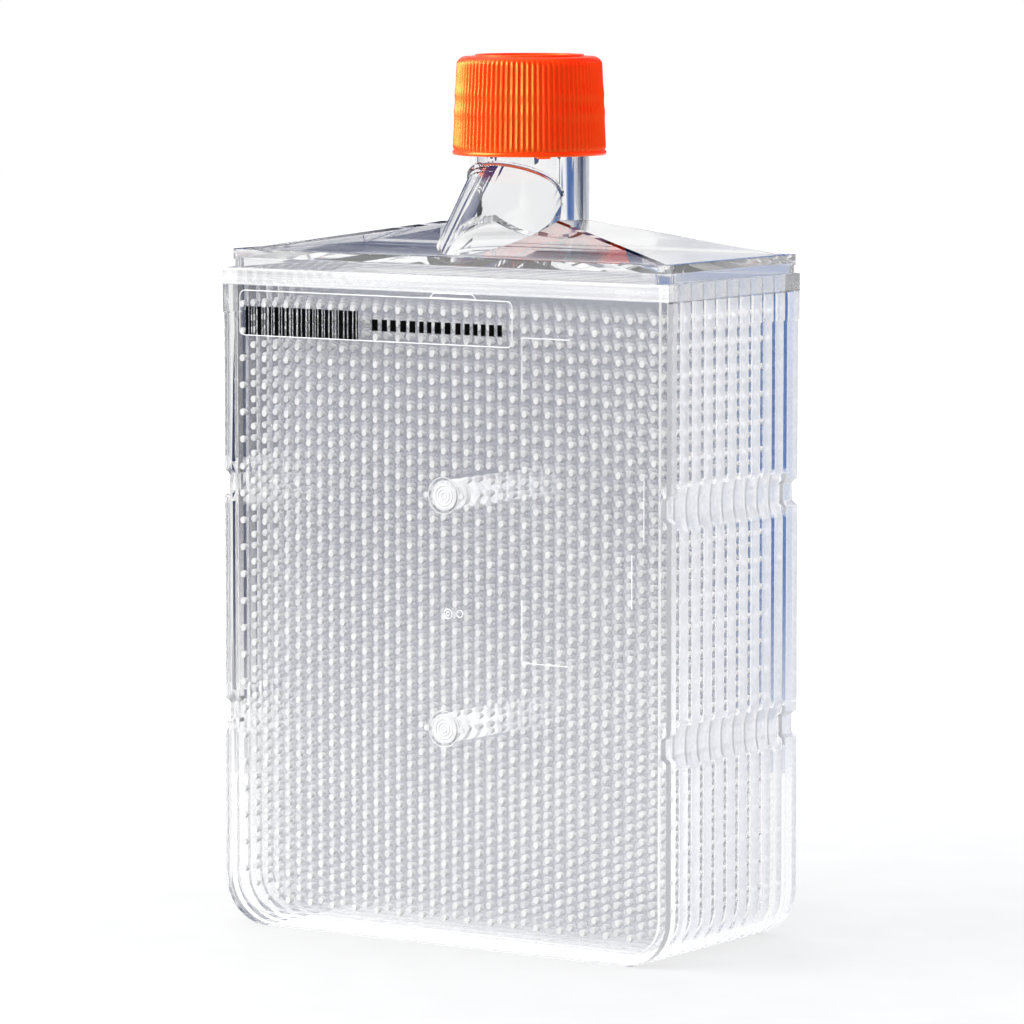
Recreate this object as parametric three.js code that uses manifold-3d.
// A ten-layer stacked cell culture flask, standing on its bottom edge with the neck up.
//
// Ten shallow trays stand side by side, front to back. Each tray is a plate with a rim, and a thin film on
// its back closes the liquid chamber. Between each film and the next plate is an open air gap, which shows
// as a slit round the sides and the bottom. The chambers are open at the top into a hollow manifold with a
// hip roof, a neck and a pouring ramp, and a ribbed screw cap closes the neck.
//
// Millimetres. X is the width, Y the depth with the front face at -Y, and Z is up. The origin is at the
// centre of the footprint, on the surface that the flask stands on.

import * as THREE from "three";
import { mergeVertices } from "three/addons/utils/BufferGeometryUtils.js";
import Module from "manifold-3d";

const wasm = await Module();
wasm.setup();

// ---------------------------------------------------------------------------------------------
// Driving dimensions
// ---------------------------------------------------------------------------------------------

// The stack of trays
const layers = 10; // liquid chambers, each with its own film
const bodyWidth = 120; // outside, across X
const bodyHeight = 150.8; // base to the top faces of the trays
const cornerRadius = 11; // bottom corners, outside
const rimWidth = 3; // wall round each chamber, across the sides
const sillHeight = 2.6; // wall under each chamber
const trayDepth = 3.31; // one tray, front to back
const plateDepth = 1; // the plate that faces the next tray
const airGap = 1.63; // open slit between one tray and the next
const coverDepth = 2; // plate that closes the stack in front
const frameDepth = 2; // rim behind it, round the first chamber
const backDepth = 4.8; // the moulding that closes the stack behind
const backPlateDepth = 2; // its plate, in front of the hollow
const filmDepth = 0.1; // gas-permeable film
const filmLap = 0.4; // width of film bonded to the rim
const seam = 0.05; // between two faces that are welded or bonded

// The collar that joins the trays along their top ends
const collarHeight = 4; // the part that reaches across the air gap
const shoulderHeight = 10.3; // the wider top of each rim
const shoulderStep = 0.35; // how far that stands out at each side

// Pillars that carry the load from plate to plate
const pillarRadius = 3;
const pillarHeights = [49, 101.6];

// Hand grips: two shallow valleys down each side of the stack, level with the pillars. A bridge crosses
// the air gap in each.
const bridgeLength = 9;
const gripLength = 11.7;
const gripFloor = 2.6;
const gripDepth = 1.4;
const endGripLength = 6.4; // the first and last pieces have shorter, steeper ones
const endGripFloor = 3.6;

// Manifold
const flangeFront = 1.15; // how far the flange stands back from the front face
const flangeSide = 0.4; // and from each side
const flangeDepth = 2.4; // thickness of the flange plate
const skirtHeight = 1.8;
const skirtInset = 0.4;
const skirtWall = 1.2;
const flangeFrontRadius = 3;
const flangeBackRadius = 1;
const roofLedge = 2.6; // flat left round the roof, at the sides and back
const roofFrontLedge = 3.3;
const roofRise = 9.4; // from the flange to where the roof's planes would meet
const roofWall = 1.9; // measured straight up

// Neck and pouring ramp
const neckOffset = 8.3; // neck axis behind the middle of the footprint
const neckRadius = 13.6;
const neckWall = 2;
const neckHeight = 40.6; // flange top to the mouth
const mouthBevel = 0.6;
const rampInset = 1; // ramp radius inside the neck's
const rampWall = 1.9;
const rampTop = 20; // above the flange, where the ramp leaves the front of the neck
const rampSlope = 0.86; // forward travel for each millimetre down

// Cap and its liner
const capTaper = 0.7; // how much smaller the radius is at the shoulder than at the foot
const capHeight = 22.7; // foot to top face
const capWall = 1.9; // bore to the outside of the ribs, at the foot
const capTopWall = 1.3;
const capShoulder = 1.2; // rounded edge round the top
const capLipHeight = 1;
const capLipStep = 0.1;
const capStopWidth = 3; // small stop under the lip
const capStopHeight = 0.4;
const capStopTurn = 45; // degrees from +X, towards the front
const ribCount = 88;
const ribDepth = 0.32;
const ribShare = 0.58; // part of each pitch that is rib
const crownInset = 5; // raised ring on the top, in from the foot radius
const crownWidth = 1.5;
const crownHeight = 0.5;
const linerDepth = 1.4;
const linerMargin = 0.4; // liner edge to the cap's bore
const seatGap = 0.3; // mouth to liner, and liner to cap
const threadRoom = 1.9; // neck to the cap's bore, where the thread runs

// Facets
const roundSegments = 48; // neck and cap
const pillarSegments = 16;
const shoulderSteps = 3; // round the cap's top edge
const curveSegments = 4; // for each curve of an outline; an arc gets twice as many

// ---------------------------------------------------------------------------------------------
// Worked out from the driving dimensions
// ---------------------------------------------------------------------------------------------

const pitch = trayDepth + airGap;
const frontDepth = coverDepth + frameDepth;
const bodyDepth = frontDepth + airGap + (layers - 1) * pitch + backDepth;
const frontY = -bodyDepth / 2;
const backY = bodyDepth / 2;
const trayFront = (layer) => frontY + frontDepth + airGap + (layer - 2) * pitch;
const chamberBack = (layer) => (layer === 1 ? frontY + frontDepth : trayFront(layer) + trayDepth);
const filmClear = filmDepth + 2 * seam; // film and the seams before and behind it
const reach = airGap - seam; // how far a collar or a bridge comes forward
const collarBottom = bodyHeight - collarHeight;

const flangeBottom = bodyHeight + skirtHeight;
const flangeTop = flangeBottom + flangeDepth;
const neckTop = flangeTop + neckHeight;
const linerBottom = neckTop + seatGap;
const capCeiling = linerBottom + linerDepth + seatGap;
const capTop = capCeiling + capTopWall;
const capBottom = capTop + crownHeight - capHeight;
const capBore = neckRadius + threadRoom;
const capRadius = capBore + capWall;
const crownRadius = capRadius - crownInset;
const rampRadius = neckRadius - rampInset;

// ---------------------------------------------------------------------------------------------
// Solids
// ---------------------------------------------------------------------------------------------

// A closed three.js geometry as a manifold solid. Triangles that a merge leaves without area are dropped.
function solidOf(geometry) {
  const bare = geometry.clone();
  bare.deleteAttribute("normal");
  bare.deleteAttribute("uv");
  const merged = mergeVertices(bare, 1e-4);
  const index = merged.getIndex().array;
  const triangles = [];
  for (let i = 0; i < index.length; i += 3) {
    const [a, b, c] = index.slice(i, i + 3);
    if (a !== b && b !== c && c !== a) triangles.push(a, b, c);
  }
  const mesh = new wasm.Mesh({
    numProp: 3,
    vertProperties: new Float32Array(merged.getAttribute("position").array),
    triVerts: new Uint32Array(triangles),
  });
  return new wasm.Manifold(mesh);
}

function geometryOf(solid) {
  const { vertProperties, triVerts } = solid.getMesh();
  const geometry = new THREE.BufferGeometry();
  geometry.setAttribute("position", new THREE.BufferAttribute(new Float32Array(vertProperties), 3));
  geometry.setIndex(new THREE.BufferAttribute(new Uint32Array(triVerts), 1));
  const faceted = geometry.toNonIndexed();
  faceted.computeVertexNormals();
  return faceted;
}

const join = (...solids) => solids.reduce((sum, solid) => sum.add(solid));
const cut = (solid, ...tools) => tools.reduce((rest, tool) => rest.subtract(tool), solid);

// An outline drawn in X and Z, made solid from depth y0 back to depth y1.
function slab(outline, y0, y1) {
  const options = { depth: y1 - y0, bevelEnabled: false, curveSegments };
  const geometry = new THREE.ExtrudeGeometry(outline, options);
  return solidOf(geometry.rotateX(Math.PI / 2).translate(0, y1, 0));
}

// An outline drawn in X and Y, made solid from height z0 up to height z1.
function block(outline, z0, z1) {
  const options = { depth: z1 - z0, bevelEnabled: false, curveSegments };
  return solidOf(new THREE.ExtrudeGeometry(outline, options).translate(0, 0, z0));
}

// A profile of [radius, height] points turned about the Z axis.
function turned(profile, segments = roundSegments) {
  const points = profile.map(([radius, height]) => new THREE.Vector2(radius, height));
  return solidOf(new THREE.LatheGeometry(points, segments).rotateX(Math.PI / 2));
}

function boxSolid([x0, x1], [y0, y1], [z0, z1]) {
  const geometry = new THREE.BoxGeometry(x1 - x0, y1 - y0, z1 - z0);
  return solidOf(geometry.translate((x0 + x1) / 2, (y0 + y1) / 2, (z0 + z1) / 2));
}

// ---------------------------------------------------------------------------------------------
// Outlines
// ---------------------------------------------------------------------------------------------

// One grip valley, from the edge in to its floor and out again. side is -1 going down the left edge and +1
// coming up the right one.
function gripValley(outline, side, height, length, floor) {
  const edge = (side * bodyWidth) / 2;
  const bottom = edge - side * gripDepth;
  const bend = (length - floor) / 4;
  const half = length / 2;
  const flat = floor / 2;
  const along = (step) => height + side * step;
  outline.lineTo(edge, along(-half));
  outline.bezierCurveTo(edge, along(-half + bend), bottom, along(-flat - bend), bottom, along(-flat));
  outline.lineTo(bottom, along(flat));
  outline.bezierCurveTo(bottom, along(flat + bend), edge, along(half - bend), edge, along(half));
}

// The outline that every piece of the stack shares: square at the top, rounded at the bottom corners.
function bodyOutline(length, floor) {
  const half = bodyWidth / 2;
  const corner = cornerRadius;
  const outline = new THREE.Shape();
  outline.moveTo(-half, bodyHeight);
  for (const height of [...pillarHeights].reverse()) gripValley(outline, -1, height, length, floor);
  outline.lineTo(-half, corner);
  outline.absarc(-half + corner, corner, corner, Math.PI, 1.5 * Math.PI);
  outline.lineTo(half - corner, 0);
  outline.absarc(half - corner, corner, corner, -Math.PI / 2, 0);
  for (const height of pillarHeights) gripValley(outline, 1, height, length, floor);
  outline.lineTo(half, bodyHeight);
  outline.closePath();
  return outline;
}

// A rectangle whose two bottom corners are rounded.
function panelOutline(half, bottom, top, corner) {
  const outline = new THREE.Shape();
  outline.moveTo(-half, top);
  outline.lineTo(-half, bottom + corner);
  outline.absarc(-half + corner, bottom + corner, corner, Math.PI, 1.5 * Math.PI);
  outline.lineTo(half - corner, bottom);
  outline.absarc(half - corner, bottom + corner, corner, -Math.PI / 2, 0);
  outline.lineTo(half, top);
  outline.closePath();
  return outline;
}

// The chamber inside a rim.
function chamberOutline(top) {
  return panelOutline(bodyWidth / 2 - rimWidth, sillHeight, top, cornerRadius - rimWidth);
}

// ---------------------------------------------------------------------------------------------
// The stack
// ---------------------------------------------------------------------------------------------

// The two pillars, from depth y0 back to depth y1.
function pillars(y0, y1) {
  const profile = [[0, 0], [pillarRadius, 0], [pillarRadius, y1 - y0], [0, y1 - y0]];
  const post = turned(profile, pillarSegments).rotate([-90, 0, 0]);
  return join(...pillarHeights.map((height) => post.translate([0, y0, height])));
}

// The body outline with its wider top, from the front to the back of one piece.
function blank(length, floor, depth) {
  const half = bodyWidth / 2 + shoulderStep;
  const shoulder = boxSolid([-half, half], [0, depth], [bodyHeight - shoulderHeight, bodyHeight]);
  return join(slab(bodyOutline(length, floor), 0, depth), shoulder);
}

// What crosses the air gap in front of a piece: a collar along the top, and a bridge in each grip valley,
// outside the film.
function spacers(length, floor) {
  const half = bodyWidth / 2 + shoulderStep;
  const inner = bodyWidth / 2 - rimWidth + filmLap + seam;
  const root = plateDepth / 2;
  const collar = boxSolid([-half, half], [-reach, root], [collarBottom, bodyHeight]);
  const bands = pillarHeights.flatMap((height) => {
    const span = [height - bridgeLength / 2, height + bridgeLength / 2];
    return [[-half, -inner], [inner, half]].map((side) => boxSolid(side, [-reach, root], span));
  });
  const bridges = slab(bodyOutline(length, floor), -reach, root).intersect(join(...bands));
  return join(collar, bridges);
}

// The cover carries the first chamber's pillars, which stand on its back.
function makeFrontCover() {
  return join(blank(endGripLength, endGripFloor, coverDepth), pillars(coverDepth / 2, frontDepth));
}

// The first chamber's rim. It has no plate of its own and is open at the top.
function makeFrontFrame() {
  const chamber = slab(chamberOutline(bodyHeight + 1), -1, frameDepth + 1);
  return cut(blank(endGripLength, endGripFloor, frameDepth - seam), chamber);
}

// A plate, a rim behind it, and pillars that cross both the air gap in front and the chamber behind. The
// chamber runs out at the top, where the liquid leaves for the manifold.
function makeTray() {
  const chamber = slab(chamberOutline(bodyHeight + 1), plateDepth, trayDepth + 1);
  const hollowed = cut(blank(gripLength, gripFloor, trayDepth), chamber);
  return join(hollowed, spacers(gripLength, gripFloor), pillars(filmClear - airGap, trayDepth));
}

// The last plate is hollow behind, inside its rim, as a moulding of that depth is.
function makeBackPlate() {
  const hollow = slab(chamberOutline(collarBottom), backPlateDepth, backDepth + 1);
  const hollowed = cut(blank(endGripLength, endGripFloor, backDepth), hollow);
  return join(hollowed, spacers(endGripLength, endGripFloor), pillars(filmClear - airGap, backDepth));
}

function makeFilm() {
  const half = bodyWidth / 2 - rimWidth + filmLap;
  const corner = cornerRadius - rimWidth + filmLap;
  return slab(panelOutline(half, sillHeight - filmLap, collarBottom - seam, corner), 0, filmDepth);
}

// ---------------------------------------------------------------------------------------------
// Manifold, neck and ramp
// ---------------------------------------------------------------------------------------------

// A footprint with one radius at its two front corners and another at its two back corners.
function footprint(half, y0, y1, frontCorner, backCorner) {
  const outline = new THREE.Shape();
  outline.moveTo(-half + frontCorner, y0);
  outline.absarc(half - frontCorner, y0 + frontCorner, frontCorner, -Math.PI / 2, 0);
  outline.absarc(half - backCorner, y1 - backCorner, backCorner, 0, Math.PI / 2);
  outline.absarc(-half + backCorner, y1 - backCorner, backCorner, Math.PI / 2, Math.PI);
  outline.absarc(-half + frontCorner, y0 + frontCorner, frontCorner, Math.PI, 1.5 * Math.PI);
  outline.closePath();
  return outline;
}

// A hip roof: four planes from a rectangle up to a point over the neck's axis, standing on a block that
// reaches down to depth "below".
function hipRoof(half, y0, y1, base, rise, below) {
  const low = base - below;
  const corners = [[-half, y0], [half, y0], [half, y1], [-half, y1]];
  const positions = [];
  for (const z of [low, base]) for (const [x, y] of corners) positions.push(x, y, z);
  positions.push(0, neckOffset, base + rise);
  const index = [0, 2, 1, 0, 3, 2];
  for (let i = 0; i < 4; i += 1) {
    const j = (i + 1) % 4;
    index.push(i, j, 4 + j, i, 4 + j, 4 + i, 4 + i, 4 + j, 8);
  }
  const geometry = new THREE.BufferGeometry();
  geometry.setAttribute("position", new THREE.Float32BufferAttribute(positions, 3));
  geometry.setIndex(index);
  return solidOf(geometry);
}

const neckCylinder = (radius, z0, z1) =>
  turned([[0, z0], [radius, z0], [radius, z1], [0, z1]]).translate([0, neckOffset, 0]);

// The ramp is a round tube that leans forward from the neck to the front of the roof. Its highest line
// starts on the front of the neck. Only the half in front of the neck's axis is kept.
function rampTube(radius, z0) {
  const lean = Math.atan(rampSlope);
  const start = flangeTop + rampTop;
  const axisY = neckOffset - neckRadius + rampRadius / Math.cos(lean);
  const length = 4 * neckHeight;
  const geometry = new THREE.CylinderGeometry(radius, radius, length, roundSegments);
  geometry.rotateX(Math.PI / 2 - lean).translate(0, axisY, start);
  const front = neckOffset - bodyDepth;
  const keep = boxSolid([-bodyWidth, bodyWidth], [front, neckOffset], [z0, start + neckWall]);
  return solidOf(geometry).intersect(keep);
}

function makeManifold() {
  const half = bodyWidth / 2 - flangeSide;
  const y0 = frontY + flangeFront;
  const plate = footprint(half, y0, backY, flangeFrontRadius, flangeBackRadius);
  const skirtCorner = flangeFrontRadius - skirtInset;
  const skirt = footprint(half - skirtInset, y0 + skirtInset, backY - skirtInset, skirtCorner, skirtInset);
  const roofHalf = half - roofLedge;
  const roofFront = y0 + roofFrontLedge;
  const roofBack = backY - roofLedge;
  const shell = join(
    block(plate, flangeBottom, flangeTop),
    block(skirt, bodyHeight + seam, flangeBottom),
    hipRoof(roofHalf, roofFront, roofBack, flangeTop, roofRise, flangeDepth / 2),
    neckCylinder(neckRadius, flangeBottom, neckTop),
    rampTube(rampRadius, flangeBottom),
  );

  const inside = skirtInset + skirtWall;
  const ceiling = flangeTop - roofWall;
  const cavity = footprint(half - inside, y0 + inside, backY - inside, skirtCorner, skirtInset);
  const bore = neckRadius - neckWall;
  const bevel = [[0, neckTop - mouthBevel], [bore, neckTop - mouthBevel], [bore + mouthBevel, neckTop], [0, neckTop]];
  return cut(
    shell,
    block(cavity, bodyHeight - 1, ceiling),
    hipRoof(roofHalf, roofFront, roofBack, ceiling, roofRise, roofWall / 2),
    neckCylinder(bore, bodyHeight, neckTop + 1),
    turned(bevel).translate([0, neckOffset, 0]),
    rampTube(rampRadius - rampWall, bodyHeight),
  );
}

// ---------------------------------------------------------------------------------------------
// Cap and liner
// ---------------------------------------------------------------------------------------------

// The outline of the ribbed wall: a flat-topped rib and a flat-floored groove, once for each pitch.
function ribbedOutline() {
  const outline = new THREE.Shape();
  const step = (2 * Math.PI) / ribCount;
  const points = [];
  for (let rib = 0; rib < ribCount; rib += 1) {
    const corners = [[-ribShare, -1], [-ribShare * 0.7, 0], [ribShare * 0.7, 0], [ribShare, -1]];
    for (const [share, level] of corners) {
      const angle = (rib + share / 2) * step;
      const radius = capRadius + level * ribDepth;
      points.push(new THREE.Vector2(radius * Math.cos(angle), radius * Math.sin(angle)));
    }
  }
  outline.setFromPoints(points);
  return outline;
}

// The ribbed wall, drawn in towards the shoulder.
function ribbedWall(z0, z1) {
  const geometry = new THREE.ExtrudeGeometry(ribbedOutline(), { depth: z1 - z0, bevelEnabled: false });
  const position = geometry.getAttribute("position");
  for (let i = 0; i < position.count; i += 1) {
    const scale = 1 - (capTaper / capRadius) * (position.getZ(i) / (z1 - z0));
    position.setXY(i, position.getX(i) * scale, position.getY(i) * scale);
  }
  return solidOf(geometry.translate(0, 0, z0));
}

function makeCap() {
  const lipTop = capBottom + capLipHeight;
  const shoulder = capTop - capShoulder;
  const topRadius = capRadius - capTaper;
  const rounding = [];
  for (let step = 0; step <= shoulderSteps; step += 1) {
    const angle = (step / shoulderSteps) * (Math.PI / 2);
    const radius = topRadius - capShoulder * (1 - Math.cos(angle));
    rounding.push([radius, shoulder + capShoulder * Math.sin(angle)]);
  }
  const crownInner = crownRadius - crownWidth;
  const crownTop = capTop + crownHeight;
  const headBottom = shoulder - ribDepth;
  const headRadius = topRadius - 2 * ribDepth;
  const head = turned([
    [0, headBottom], [headRadius, headBottom], [headRadius, shoulder], ...rounding,
    [crownRadius, capTop], [crownRadius, crownTop], [crownInner, crownTop], [crownInner, capTop], [0, capTop],
  ]);
  const lipRadius = capRadius + capLipStep;
  const lip = turned([[0, capBottom], [lipRadius, capBottom], [lipRadius, lipTop], [0, lipTop]]);
  const bore = turned([[0, capBottom - 1], [capBore, capBottom - 1], [capBore, capCeiling], [0, capCeiling]]);
  const stopSpan = [-capStopWidth / 2, capStopWidth / 2];
  const stop = boxSolid([capBore, capRadius], stopSpan, [capBottom - capStopHeight, lipTop]);
  return cut(join(lip, stop.rotate([0, 0, -capStopTurn]), ribbedWall(lipTop, shoulder), head), bore);
}

function makeLiner() {
  const radius = capBore - linerMargin;
  const top = linerBottom + linerDepth;
  const edge = linerMargin;
  return turned([
    [0, linerBottom], [radius - edge, linerBottom], [radius, linerBottom + edge],
    [radius, top - edge], [radius - edge, top], [0, top],
  ]);
}

// ---------------------------------------------------------------------------------------------
// Materials and the scene graph
// ---------------------------------------------------------------------------------------------

const clear = new THREE.MeshStandardMaterial({
  color: 0xe9ecf0, roughness: 0.12, metalness: 0, transparent: true, opacity: 0.45,
});
const clearFilm = new THREE.MeshStandardMaterial({
  color: 0xf2f4f6, roughness: 0.3, metalness: 0, transparent: true, opacity: 0.25,
});
const orange = new THREE.MeshStandardMaterial({ color: 0xff5a0a, roughness: 0.38, metalness: 0 });
const white = new THREE.MeshStandardMaterial({ color: 0xf0ede6, roughness: 0.7, metalness: 0 });

const flask = new THREE.Group();

function place(name, geometry, material, [x, y, z]) {
  const mesh = new THREE.Mesh(geometry, material);
  mesh.name = name;
  mesh.position.set(x, y, z);
  flask.add(mesh);
}

const numbered = (word, layer) => `${word}_${String(layer).padStart(2, "0")}`;

place("front_cover", geometryOf(makeFrontCover()), clear, [0, frontY, 0]);
place("front_frame", geometryOf(makeFrontFrame()), clear, [0, frontY + coverDepth + seam, 0]);
const trayGeometry = geometryOf(makeTray());
for (let layer = 2; layer <= layers; layer += 1) {
  place(numbered("tray", layer), trayGeometry, clear, [0, trayFront(layer), 0]);
}
place("back_plate", geometryOf(makeBackPlate()), clear, [0, backY - backDepth, 0]);

const filmGeometry = geometryOf(makeFilm());
for (let layer = 1; layer <= layers; layer += 1) {
  place(numbered("film", layer), filmGeometry, clearFilm, [0, chamberBack(layer) + seam, 0]);
}

place("manifold", geometryOf(makeManifold()), clear, [0, 0, 0]);
place("cap_liner", geometryOf(makeLiner()), white, [0, neckOffset, 0]);
place("cap", geometryOf(makeCap()), orange, [0, neckOffset, 0]);

export default flask;
